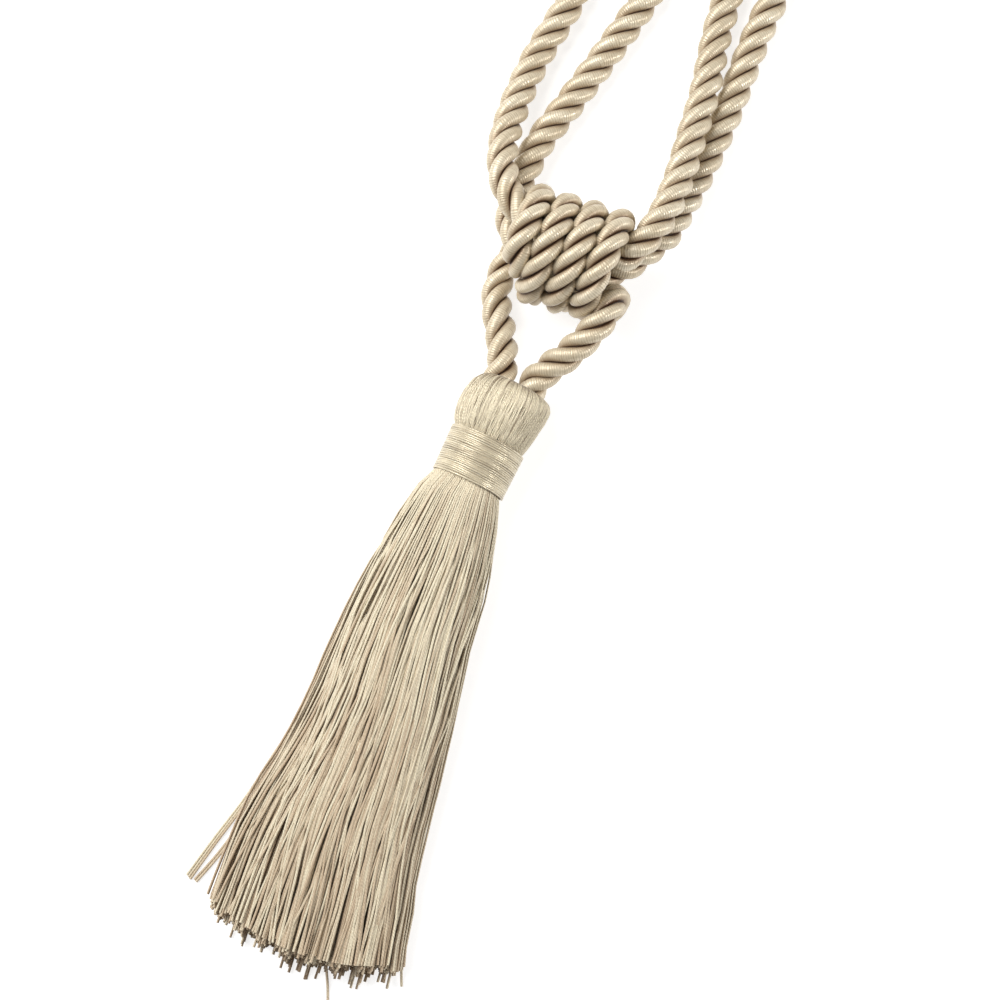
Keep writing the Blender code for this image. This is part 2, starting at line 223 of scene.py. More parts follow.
# ---- route of the doubled cord: x, y, z, radius of the tube there ----
DOUBLED_CORD = [
    # inside the knot, out at its left end and up along the outer left run
    (0.0064, 0.1414, 0.0206, 0.0038),
    (-0.0017, 0.1411, 0.0206, 0.0038),
    (-0.0068, 0.1421, 0.0206, 0.0038),
    (-0.0131, 0.1460, 0.0198, 0.0039),
    (-0.0161, 0.1485, 0.0189, 0.0040),
    (-0.0200, 0.1540, 0.0168, 0.0042),
    (-0.0227, 0.1618, 0.0135, 0.0043),
    (-0.0240, 0.1731, 0.0087, 0.0044),
    (-0.0232, 0.1916, 0.0048, 0.0044),
    (-0.0198, 0.2100, 0.0045, 0.0044),
    # far end of the outer loop
    (-0.0181, 0.2315, 0.0045, 0.0044),
    (-0.0215, 0.2690, 0.0045, 0.0044),
    (-0.0272, 0.3060, 0.0045, 0.0044),
    (-0.0252, 0.3370, 0.0045, 0.0044),
    (-0.0145, 0.3612, 0.0045, 0.0044),
    (0.0098, 0.3742, 0.0045, 0.0044),
    (0.0340, 0.3622, 0.0045, 0.0044),
    (0.0446, 0.3385, 0.0045, 0.0044),
    (0.0448, 0.3030, 0.0045, 0.0044),
    (0.0374, 0.2570, 0.0045, 0.0044),
    # down along the outer right run and through the knot
    (0.0335, 0.2208, 0.0045, 0.0044),
    (0.0327, 0.1915, 0.0048, 0.0044),
    (0.0309, 0.1727, 0.0064, 0.0044),
    (0.0294, 0.1625, 0.0090, 0.0044),
    (0.0280, 0.1549, 0.0112, 0.0042),
    (0.0250, 0.1493, 0.0124, 0.0039),
    (0.0200, 0.1418, 0.0131, 0.0038),
    (0.0131, 0.1368, 0.0130, 0.0038),
    (-0.0031, 0.1364, 0.0130, 0.0037),
    (-0.0075, 0.1376, 0.0123, 0.0037),
    # up along the inner left run
    (-0.0130, 0.1418, 0.0104, 0.0038),
    (-0.0149, 0.1482, 0.0086, 0.0039),
    (-0.0151, 0.1562, 0.0069, 0.0042),
    (-0.0143, 0.1675, 0.0056, 0.0043),
    (-0.0099, 0.1829, 0.0046, 0.0044),
    (-0.0043, 0.2023, 0.0045, 0.0044),
    # far end of the inner loop
    (0.0014, 0.2263, 0.0045, 0.0044),
    (0.0003, 0.2620, 0.0045, 0.0044),
    (-0.0080, 0.2930, 0.0045, 0.0044),
    (-0.0086, 0.3150, 0.0045, 0.0044),
    (-0.0026, 0.3310, 0.0045, 0.0044),
    (0.0103, 0.3378, 0.0045, 0.0044),
    (0.0228, 0.3308, 0.0045, 0.0044),
    (0.0288, 0.3145, 0.0045, 0.0044),
    (0.0282, 0.2930, 0.0045, 0.0044),
    (0.0228, 0.2580, 0.0045, 0.0044),
    # down along the inner right run, which climbs over the outer one, and back into the knot
    (0.0224, 0.2186, 0.0050, 0.0044),
    (0.0249, 0.1965, 0.0094, 0.0044),
    (0.0255, 0.1838, 0.0124, 0.0044),
    (0.0260, 0.1677, 0.0168, 0.0044),
    (0.0250, 0.1563, 0.0206, 0.0042),
    (0.0229, 0.1494, 0.0221, 0.0039),
    (0.0179, 0.1421, 0.0211, 0.0038),
    (0.0124, 0.1418, 0.0206, 0.0038),
    (0.0084, 0.1415, 0.0206, 0.0038),
]

# ---- route of the hanger cord, before and after its turns round the knot ----
HANGER_LEFT = [
    (-0.0023, 0.0964, 0.0127, 0.0042),  # inside the head
    (-0.0019, 0.1016, 0.0127, 0.0042),
    (-0.0019, 0.1036, 0.0126, 0.0042),
    (-0.0027, 0.1065, 0.0118, 0.0043),
    (-0.0040, 0.1095, 0.0106, 0.0043),
    (-0.0064, 0.1148, 0.0086, 0.0043),
    (-0.0095, 0.1207, 0.0063, 0.0042),
    (-0.0112, 0.1266, 0.0044, 0.0037),
    (-0.0112, 0.1322, 0.0044, 0.0034),
]
HANGER_RIGHT = [
    (0.0178, 0.1284, 0.0062, 0.0034),
    (0.0198, 0.1301, 0.0045, 0.0034),
    (0.0208, 0.1319, 0.0060, 0.0034),
    (0.0211, 0.1329, 0.0098, 0.0034),
    (0.0210, 0.1326, 0.0142, 0.0034),
    (0.0206, 0.1310, 0.0178, 0.0034),
    (0.0201, 0.1281, 0.0202, 0.0034),
    (0.0194, 0.1246, 0.0211, 0.0036),
    (0.0173, 0.1192, 0.0200, 0.0041),
    (0.0140, 0.1130, 0.0175, 0.0043),
    (0.0103, 0.1077, 0.0149, 0.0043),
    (0.0083, 0.1044, 0.0133, 0.0043),
    (0.0077, 0.1026, 0.0128, 0.0042),
    (0.0075, 0.1007, 0.0127, 0.0042),
    (0.0071, 0.0955, 0.0127, 0.0042),  # inside the head
]


def ease(share):
    """0 to 1 with a level start and end."""
    share = min(1.0, max(0.0, share))
    return share * share * (3.0 - 2.0 * share)


# ---- camera ----
AIM = Vector((0.0099, 0.0681, 0.0220))
CAMERA_TILT = math.radians(6.5)  # off the vertical, towards the skirt
CAMERA_ROLL = math.radians(20.0)
CAMERA_AWAY = 0.637
LENS, SENSOR = 85.0, 36.0  # millimetres


def add_camera():
    """Above the tassel, a little to the skirt's side, rolled so that the skirt hangs to the left."""
    back = Vector((0.0, -math.sin(CAMERA_TILT), math.cos(CAMERA_TILT)))
    level = Vector((1.0, 0.0, 0.0))
    rise = back.cross(level)
    right = level * math.cos(CAMERA_ROLL) + rise * math.sin(CAMERA_ROLL)
    up = back.cross(right)
    data = bpy.data.cameras.new("camera")
    data.lens = LENS
    data.sensor_width = SENSOR
    camera = bpy.data.objects.new("camera", data)
    matrix = camera.matrix_world.copy()
    for column, axis in enumerate((right, up, back)):
        for row in range(3):
            matrix[row][column] = axis[row]
    matrix.translation = AIM + back * CAMERA_AWAY
    camera.matrix_world = matrix
    bpy.context.scene.collection.objects.link(camera)
    bpy.context.scene.camera = camera
    return right, up


# ---- shader maths ----


class Value:
    """A socket of a material that takes part in sums."""

    def __init__(self, finish, socket):
        self.finish = finish
        self.socket = socket

    def maths(self, operation, *others):
        return self.finish.node("Math", {"operation": operation}, dict(enumerate((self, *others))))

    def __add__(self, other):
        return self.maths("ADD", other)

    __radd__ = __add__

    def __sub__(self, other):
        return self.maths("SUBTRACT", other)

    def __rsub__(self, other):
        return self.finish.node("Math", {"operation": "SUBTRACT"}, {0: other, 1: self})

    def __mul__(self, other):
        return self.maths("MULTIPLY", other)

    __rmul__ = __mul__

    def __truediv__(self, other):
        return self.maths("DIVIDE", other)

    def __pow__(self, other):
        return self.maths("POWER", other)

    def sine(self):
        return self.maths("SINE")

    def size(self):
        return self.maths("ABSOLUTE")

    def clamp(self, low, high):
        """low to high of this value becomes 0 to 1."""
        return self.finish.node(
            "MapRange",
            {"interpolation_type": "SMOOTHSTEP"},
            {"Value": self, "From Min": low, "From Max": high},
        )


class Finish:
    """One material."""

    def __init__(self, name):
        self.material = bpy.data.materials.new(name)
        self.material.use_nodes = True
        self.tree = self.material.node_tree
        self.shader = self.tree.nodes["Principled BSDF"]

    def node(self, kind, settings=None, inputs=None, output=0):
        """Adds one node: its settings first, then values or links for its sockets."""
        node = self.tree.nodes.new("ShaderNode" + kind)
        for name, value in (settings or {}).items():
            if name == "stops":
                for k, (place, colour) in enumerate(value):
                    stop = node.color_ramp.elements[k] if k < 2 else node.color_ramp.elements.new(place)
                    stop.position = place
                    stop.color = (*colour, 1.0)
            else:
                setattr(node, name, value)
        for name, value in (inputs or {}).items():
            self.plug(node.inputs[name], value)
        return Value(self, node.outputs[output])

    def plug(self, socket, value):
        if isinstance(value, Value):
            self.tree.links.new(value.socket, socket)
        elif isinstance(value, tuple) and socket.type == "RGBA":
            socket.default_value = (*value, 1.0)
        else:
            socket.default_value = value

    def surface(self, **inputs):
        """Values and links of the shader's own sockets."""
        for name, value in inputs.items():
            self.plug(self.shader.inputs[name.replace("_", " ")], value)

    def blend(self, factor, a, b, kind="MIX"):
        """Colour a where factor is 0, b where it is 1."""
        return self.node(
            "Mix",
            {"data_type": "RGBA", "blend_type": kind},
            {0: factor, 6: a, 7: b},
            output=2,
        )

    def lay(self):
        """Around and along a tube: 0 to 1, and metres."""
        uv = self.node("UVMap", {"uv_map": "lay"})
        return (
            self.node("SeparateXYZ", None, {0: uv}, 0),
            self.node("SeparateXYZ", None, {0: uv}, 1),
        )

    def mark(self, name):
        """A number stored on the mesh."""
        return self.node("Attribute", {"attribute_name": name}, None, "Fac")

    def vector(self, x, y, z=0.0):
        return self.node("CombineXYZ", None, {0: x, 1: y, 2: z})

    def noise(self, vector, scale, detail=2.0, roughness=0.5):
        return self.node(
            "TexNoise",
            {"noise_dimensions": "3D"},
            {"Vector": vector, "Scale": scale, "Detail": detail, "Roughness": roughness},
        )

    def bump(self, height, strength, distance):
        return self.node("Bump", None, {"Strength": strength, "Distance": distance, "Height": height})


def cord_finish():
    """Strands wrapped in satin thread: fine ridges across each strand, with painted shade brown in the
    gaps, on the flanks and between the turns.
    """
    finish = Finish("satin_cord")
    around, along = finish.lay()
    tone = finish.mark("tone")
    depth = finish.mark("inward")
    side = (around - 0.5).size()
    wander = finish.noise(finish.vector(side * 2.5, along * 240.0, tone * 40.0), 1.0, 2.0)
    ridge = ((along * (2 * math.pi / RIDGE_PITCH) + wander * 12.0).sine() + 1.0) * 0.5
    streak = finish.noise(finish.vector(side * 3.0, along * 1500.0, tone * 90.0), 1.0, 1.0)
    streak = streak.clamp(0.35, 0.7)
    slow = finish.noise(finish.vector(side * 3.0, along * 110.0, tone * 30.0), 1.0, 2.0).clamp(0.3, 0.75)
    body = finish.blend(slow, CORD_TAN, CORD_PALE)
    # painted shade between the turns of the wrapping thread
    lined = finish.blend((1.0 - ridge) * (0.22 + 0.45 * streak), body, CORD_LINE_SHADE)
    # painted shade on the flanks of each strand
    flank_shade = finish.blend(depth.clamp(0.05, 0.48) * 0.75, lined, CORD_FLANK_SHADE)
    # painted shade deep in the gaps between the strands
    shaded = finish.blend(depth.clamp(0.41, 0.60), flank_shade, CORD_GAP_SHADE)
    finish.surface(Base_Color=shaded, Roughness=0.31 + 0.14 * streak)
    finish.surface(Normal=finish.bump(ridge + 0.3 * streak, 0.55, 0.00011))
    finish.surface(Metallic=0.25, Sheen_Weight=0.1, Sheen_Roughness=0.35)
    return finish.material


def thread_finish(name, dark, twist, roughness, metallic, hollow_shade):
    """Soft twisted thread, a little different from one thread to the next.

    dark: the tone that it turns to from pale.
    The last argument: where the painted shade in the crevice between two threads starts and where it is
    darkest."""
    finish = Finish(name)
    around, along = finish.lay()
    tone = finish.mark("tone")
    depth = finish.mark("inward")
    fibres = finish.vector(around * 5.0 + along * twist, along * 700.0, tone * 60.0)
    grain = finish.noise(fibres, 1.0, 3.0)
    slow = finish.noise(finish.vector(tone * 30.0, along * 60.0, tone * 7.0), 1.0, 2.0)
    ply = ((along * twist + around * 2.0 + tone * 37.0) * (2 * math.pi)).sine() * 0.5 + 0.5
    # tan and painted shade as marked on the mesh, with tone that differs at random
    warm = finish.mark("tan_and_shade") * 0.8 + (tone + slow - 1.0) * 0.95
    body = finish.blend(warm.clamp(0.0, 1.0), PALE, dark)
    # dark grain flecks, with painted shade in the grooves between the plies
    grained = finish.blend(grain.clamp(0.45, 0.75) * 0.24 + (1.0 - ply) * 0.18, body, GAP_SHADE)
    # painted shade in the crevice between two threads
    shaded = finish.blend(depth.clamp(*hollow_shade) * 0.85, grained, GAP_SHADE)
    finish.surface(Base_Color=shaded, Roughness=roughness, Metallic=metallic)
    finish.surface(Normal=finish.bump(ply + grain, 0.55, 0.00012))
    finish.surface(Sheen_Weight=0.2, Sheen_Roughness=0.4)
    return finish.material


def inner_shade_finish():
    """Threads between the outer ones of the head, painted dark as their shade."""
    finish = Finish("inner_thread")
    place = finish.node("TexCoord", None, None, "Object")
    fine = (2400.0, 160.0, 2400.0)  # per metre, long in the threads' direction
    stretched = finish.node("VectorMath", {"operation": "MULTIPLY"}, {0: place, 1: fine})
    grain = finish.noise(stretched, 1.0, 3.0)
    finish.surface(Base_Color=finish.blend(grain.clamp(0.3, 0.7), INNER_SHADE_DARK, INNER_SHADE_PALE))
    finish.surface(Normal=finish.bump(grain, 0.6, 0.0002), Roughness=0.8)
    return finish.material


def floor_finish():
    """A pale floor, lit a little from below, as on a light table."""
    finish = Finish("pale_floor")
    finish.surface(Base_Color=FLOOR_TONE, Roughness=0.8)
    finish.surface(Emission_Color=WHITE, Emission_Strength=FLOOR_GLOW)
    return finish.material


# ---- tubes ----


def unit(vectors):
    return vectors / np.maximum(np.linalg.norm(vectors, axis=-1, keepdims=True), 1e-12)


def tubes(name, lines, outward, sides, material, marks):
    """Round tubes along many lines at once. One grid is made for all of them: each of its rows
    becomes a ring round a line. The strips between two tubes are cut away, the seams merged
    and the ends closed.

    lines: tube, point, (x, y, z, radius). outward: the direction where a tube's seam lies.
    marks: name and (tube, point, side) numbers to store on the mesh."""
    count, rows = lines.shape[:2]
    mesh = bmesh.new()
    lay = mesh.loops.layers.uv.new("lay")
    last = count * rows - 1
    bmesh.ops.create_grid(mesh, x_segments=sides, y_segments=last, size=1.0)

    def row_of(face):
        return int((face.calc_center_median().y + 1.0) / 2.0 * last)

    strips = [face for face in mesh.faces if row_of(face) % rows == rows - 1]
    bmesh.ops.delete(mesh, geom=strips, context="FACES_ONLY")
    for face in mesh.faces:
        for loop in face.loops:
            loop[lay].uv = ((loop.vert.co.x + 1.0) / 2.0, (loop.vert.co.y + 1.0) / 2.0 * last)
    place, radius = lines[..., :3], lines[..., 3]
    run = unit(np.gradient(place, axis=1))
    out = unit(outward - (outward * run).sum(-1, keepdims=True) * run)
    across = np.cross(run, out)
    turn = np.arange(sides + 1) * (2 * math.pi / sides)
    ring = np.cos(turn)[:, None] * out[:, :, None] + np.sin(turn)[:, None] * across[:, :, None]
    ring = (place[:, :, None] + radius[..., None, None] * ring).reshape(-1, 3)
    for vert in mesh.verts:
        row = round((vert.co.y + 1.0) / 2.0 * last)
        column = round((vert.co.x + 1.0) / 2.0 * sides)
        vert.co = ring[row * (sides + 1) + column]
    bmesh.ops.remove_doubles(mesh, verts=mesh.verts, dist=MERGE)
    ends = [edge for edge in mesh.edges if edge.is_boundary]
    bmesh.ops.holes_fill(mesh, edges=ends, sides=0)
    bmesh.ops.recalc_face_normals(mesh, faces=mesh.faces)
    piece = finished(name, mesh, material)
    lay = piece.data.uv_layers["lay"]
    uv = np.zeros(len(piece.data.loops) * 2, np.float32)
    lay.data.foreach_get("uv", uv)
    uv = uv.reshape(-1, 2)
    row = np.rint(uv[:, 1]).astype(int)
    column = np.rint(uv[:, 0] * sides).astype(int)
    steps = np.linalg.norm(np.diff(place, axis=1), axis=-1)
    reach = np.concatenate([np.zeros((count, 1)), np.cumsum(steps, axis=1)], axis=1)
    uv[:, 1] = reach.reshape(-1)[row]
    lay.data.foreach_set("uv", uv.reshape(-1))
    for mark, numbers in marks.items():
        full = np.broadcast_to(numbers, (count, rows, sides + 1)).reshape(-1)
        stored = piece.data.attributes.new(mark, "FLOAT", "CORNER")
        stored.data.foreach_set("value", full[row * (sides + 1) + column].astype(np.float32))
    return piece


def finished(name, mesh, material):
    """The bmesh as a smooth object of the tassel."""
    data = bpy.data.meshes.new(name)
    mesh.to_mesh(data)
    mesh.free()
    data.materials.append(material)
    data.shade_smooth()
    data.set_sharp_from_angle(angle=SHARP_ANGLE)
    piece = bpy.data.objects.new(name, data)
    bpy.context.scene.collection.objects.link(piece)
    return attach(piece, "root")


# ---- cords ----


def smooth_route(points):
    """A close row of points on a smooth curve through the route."""
    places = np.array(points)
    chords = np.linalg.norm(np.diff(places[:, :3], axis=0), axis=1)
    slopes = np.zeros_like(places)
    for i in range(1, len(places) - 1):
        before, after = chords[i - 1], chords[i]
        into = (places[i] - places[i - 1]) / before
        out = (places[i + 1] - places[i]) / after
        slopes[i] = (into * after + out * before) / (before + after)
    slopes[0] = (places[1] - places[0]) / chords[0] * 1.5 - slopes[1] / 2
    slopes[-1] = (places[-1] - places[-2]) / chords[-1] * 1.5 - slopes[-2] / 2
    route = []
    for i, chord in enumerate(chords):
        t = np.arange(0.0, 1.0, CORD_POINT / 2 / chord)[:, None]
        route.append(
            places[i] * (2 * t**3 - 3 * t**2 + 1)
            + slopes[i] * (chord * (t**3 - 2 * t**2 + t))
            + places[i + 1] * (3 * t**2 - 2 * t**3)
            + slopes[i + 1] * (chord * (t**3 - t**2))
        )
    route = np.concatenate([*route, places[-1:]])
    steps = np.linalg.norm(np.diff(route[:, :3], axis=0), axis=1)
    reach = np.concatenate([[0.0], np.cumsum(steps)])
    even = np.linspace(0.0, reach[-1], round(reach[-1] / CORD_POINT) + 1)
    route = np.stack([np.interp(even, reach, route[:, k]) for k in range(4)], axis=1)
    route[:, 2] = np.maximum(route[:, 2], np.minimum(CORD_REST, route[:, 3] + REST_GAP))
    return route


def knot_turns():
    """The hanger cord's turns round the knot, from the underside of its left end."""
    along = Vector((math.cos(KNOT_TURN), math.sin(KNOT_TURN), 0.0))
    across = Vector((-math.sin(KNOT_TURN), math.cos(KNOT_TURN), 0.0))
    square = 360 - ADVANCE_OVER  # degrees of each turn that stay square to the axis
    turns = []
    for angle in range(WRAP_START, WRAP_END + 1, WRAP_STEP):
        turn, part = divmod(angle - ADVANCE_FROM + square, 360)
        step = ease((part - square) / ADVANCE_OVER)
        if turn == 0:
            step = ease((angle - SLIP_FROM) / SLIP_OVER)
        phi = math.radians(angle)
        tuck = ease((angle - TUCK_FROM) / TUCK_OVER) * (1.0 - ease((angle - TUCK_TO) / TUCK_OVER))
        reach = WRAP_RADIUS - TUCK * tuck
        shift = TURN_LEAN * math.sin(phi)
        shift += FIRST_TURN + WRAP_PITCH * (turn + step)
        place = KNOT_CENTRE + along * shift + across * (reach * math.sin(phi))
        turns.append((place.x, place.y, place.z - reach * math.cos(phi), WRAP_CORD_RADIUS))
    return turns


def strands(name, route, start, seed, material):
    """The strands of a cord, laid to the right round its route, and a core between them painted dark as
    shade.
    """
    run = unit(np.gradient(route[:, :3], axis=0))
    side = np.zeros_like(run)
    side[0] = unit(np.cross(run[0], (0.0, 0.0, 1.0)))
    for i in range(1, len(run)):
        side[i] = unit(side[i - 1] - (side[i - 1] @ run[i]) * run[i])
    up = np.cross(run, side)
    full = CORD_RADIUS - SQUEEZE * (TUBE_RADIUS - route[:, 3])
    phase = start + np.arange(len(route)) * (2 * math.pi * CORD_POINT / LAY)
    chance = np.random.default_rng(seed)
    lines, outward, tones = [], [], []
    for k in range(STRANDS):
        angle = phase + 2 * math.pi * k / STRANDS
        out = np.cos(angle)[:, None] * side + np.sin(angle)[:, None] * up
        place = route[:, :3] + out * (full * STRAND_OFFSET)[:, None]
        lines.append(np.concatenate([place, (full * STRAND_RADIUS)[:, None]], axis=1))
        outward.append(out)
        tones.append(chance.random())
    lines.append(np.concatenate([route[:, :3], (full * CORE_RADIUS)[:, None]], axis=1))
    outward.append(side)
    tones.append(0.5)
    turn = np.arange(STRAND_SIDES + 1) * (2 * math.pi / STRAND_SIDES)
    inward = np.tile(0.5 - 0.5 * np.cos(turn), (STRANDS + 1, 1, 1))
    # the core is painted wholly in the dark shade of the gaps
    inward[STRANDS] = 1.0
    return tubes(
        name,
        np.array(lines),
        np.array(outward),
        STRAND_SIDES,
        material,
        {"tone": np.array(tones)[:, None, None], "inward": inward},
    )


def add_cords(material):
    doubled = smooth_route(DOUBLED_CORD)
    hanger = smooth_route(HANGER_LEFT + knot_turns() + HANGER_RIGHT)
    for name, route, start, lay, seed in (
        ("doubled_cord_strands", doubled, 0.6, "loose", 3),
        ("hanger_cord_strands", hanger, 0.0, "taut", 4),
    ):
        piece = strands(name, route, start, seed, material)
        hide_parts(name.replace("_strands", ""))
        [tuple(p) for p in route[::PATH_STEP, :3]] + [tuple(route[-1, :3])]


# ---- skirt ----


def confined(points, section, radius):
    """The points, moved back inside the section where they have left it."""
    x = points[:, 0] - section.centre
    z = points[:, 1] - section.side
    up = section.top - section.side - radius
    down = section.flat * (section.side - section.foot) - radius
    reach = np.hypot(x / (section.half_width - radius), z / np.where(z > 0, up, down))
    back = np.maximum(reach, 1.0)
    floor = section.foot + radius
    return np.stack([section.centre + x / back, np.maximum(section.side + z / back, floor)], axis=1)


def carried(points, old, new):
    """The points of one section, stretched to the next one's size."""
    x = new.centre + (points[:, 0] - old.centre) * (new.half_width / old.half_width)
    z = points[:, 1] - old.side
    up = (new.top - new.side) / (old.top - old.side)
    down = (new.side - new.foot) / (old.side - old.foot)
    return np.stack([x, new.side + z * np.where(z > 0, up, down)], axis=1)


def packed(points, section, radius):
    """The points, pushed apart until the threads lie beside each other."""
    for _ in range(PACK_ROUNDS):
        gap = points[:, None] - points[None]
        apart = np.hypot(gap[..., 0], gap[..., 1]) + 1e-9
        push = np.clip(2 * radius - apart, 0.0, None) / apart
        np.fill_diagonal(push, 0.0)
        points = points + PACK_PUSH * (gap * push[..., None]).sum(1)
        points = confined(points, section, radius)
    return points


def skirt_sections():
    """Where each thread crosses each section: section, thread, (x, z)."""
    chance = np.random.default_rng(11)
    golden = math.pi * (3.0 - math.sqrt(5.0))
    index = np.arange(THREADS)
    reach = np.sqrt((index + 0.5) / THREADS)
    first = SKIRT[0]
    spread = first.half_width * reach
    turn = index * golden
    points = np.stack([spread * np.cos(turn), first.side + spread * np.sin(turn)], axis=1)
    points += chance.normal(0.0, FIRST_SETTLE, points.shape)
    placed = []
    for k, section in enumerate(SKIRT):
        if k:
            points = carried(points, SKIRT[k - 1], section)
            points = points + chance.normal(0.0, SETTLE, points.shape)
        points = packed(points, section, thread_radius(section.y))
        placed.append(points)
    return np.array(placed)


def thread_radius(y):
    share = (NECK_Y - y) / (NECK_Y - SKIRT[-1].y)
    return THREAD_NECK + (THREAD_END - THREAD_NECK) * max(0.0, min(1.0, share)) ** 0.6


def bunching(x, y):
    """Threads gather in bunches that part further down."""
    low = np.clip((NECK_Y - y) / 0.13, 0.0, 1.0)
    wave = np.sin(x * 1150.0 + 1.3)
    wave = wave + 0.8 * np.sin(x * 1930.0 + 0.4 + 8.0 * low)
    wave = wave + 0.5 * np.sin(x * 690.0 + 2.0)
    return BUNCH * low**0.8 * wave


def facing(sides):
    """1 on the side of a thread where its seam is, 0 on the other."""
    return (0.5 + 0.5 * np.cos(np.arange(sides + 1) * (2 * math.pi / sides)))[None, None, :]


def swaying(chance, count, rows, amount):
    """A small smooth wander for each thread."""
    sway = chance.normal(0.0, amount, (count, rows))
    sway[:, 1:-1] = (sway[:, :-2] + 2.0 * sway[:, 1:-1] + sway[:, 2:]) / 2.5
    return sway


def add_skirt(material):
    placed = skirt_sections()
    chance = np.random.default_rng(12)
    table = np.array(SKIRT)
    row = np.linspace(0.0, len(SKIRT) - 1.0, THREAD_ROWS)
    low = np.minimum(row.astype(int), len(SKIRT) - 2)
    part = row - low
    y, centre, half_width, _, side = (table[low] + (table[low + 1] - table[low]) * part[:, None]).T[:5]
    crossing = placed[low] + (placed[low + 1] - placed[low]) * part[:, None, None]
    crossing = crossing.transpose(1, 0, 2)
    across = crossing[..., 0] - centre
    lean = np.array([LEAN * ease((v - LEAN_ENDS) / (NECK_Y - LEAN_ENDS)) for v in y])
    bulk = chance.uniform(*THREAD_BULK, THREADS)[:, None]
    radius = np.array([thread_radius(v) for v in y]) * THREAD_FILL * bulk
    loose = np.clip((NECK_Y - y) / 0.03, 0.0, 1.0)
    lines = np.zeros((THREADS, THREAD_ROWS, 4))
    lines[..., 0] = centre + across * np.cos(lean) + bunching(across, y)
    lines[..., 0] += loose * swaying(chance, THREADS, THREAD_ROWS, THREAD_SWAY)
    bend = chance.uniform(2.0, 6.0, (THREADS, 1)) * loose
    bend = bend + chance.uniform(0.0, 2 * math.pi, (THREADS, 1))
    lines[..., 0] += loose * chance.normal(0.0, THREAD_DRIFT, (THREADS, 1)) * np.sin(bend)
    lines[..., 1] = y - across * np.sin(lean)
    lines[..., 2] = crossing[..., 1] + loose * swaying(chance, THREADS, THREAD_ROWS, THREAD_SWAY)
    lines[..., 2] = np.maximum(lines[..., 2], radius)
    lines[..., 3] = radius
    last = SKIRT[-1]
    share = np.clip(np.abs(across[:, -1]) / last.half_width, 0.0, 1.0)
    height = (crossing[:, -1, 1] - last.foot) / (last.top - last.foot)
    ragged = chance.normal(0.0, CUT_RAGGED, THREADS) + 0.0009 * np.sin(across[:, -1] * 900.0 + 1.0)
    chosen_long = chance.random(THREADS) < LONG_SHARE
    long_ones = chosen_long * (1.0 - height) * chance.uniform(*LONG_BY, THREADS)
    lines[:, -1, 1] += END_BOW * share**2 + END_STEP * (height - 0.5) + ragged - long_ones
    inner = np.zeros((THREADS, THREAD_ROWS, 3))
    inner[..., 0] = -across
    inner[..., 2] = side - crossing[..., 1] - 0.0001
    edge = np.clip(across / half_width, -1.0, 1.0)
    # painted shade, tan further below the neck between the parted threads
    tan_and_shade = LOW_SHADE_MOST * np.clip((NECK_Y - y) / LOW_SHADE_OVER, 0.0, 1.0)
    # painted shade, a little darker towards the skirt's right edge
    tan_and_shade = tan_and_shade + 0.15 * np.clip(edge - 0.45, 0.0, 1.0)
    tone = chance.random(THREADS)
    order = np.argsort(height)
    half = THREADS // 2
    for name, chosen in (("skirt_threads_under", order[:half]), ("skirt_threads_over", order[half:])):
        marks = {
            "tone": tone[chosen, None, None],
            "tan_and_shade": tan_and_shade[chosen][..., None],
            "inward": facing(THREAD_SIDES),
        }
        piece = tubes(name, lines[chosen], inner[chosen], THREAD_SIDES, material, marks)


def on_skirt(y, share):
    """The top of the skirt, this share of the way from its middle to its side."""
    table = np.array(SKIRT)[::-1]
    centre, half_width, top, side = (np.interp(y, table[:, 0], table[:, k]) for k in range(1, 5))
    height = side + (top - side) * np.sqrt(1.0 - share**2)
    return np.stack([centre + half_width * share, y, height], axis=-1)


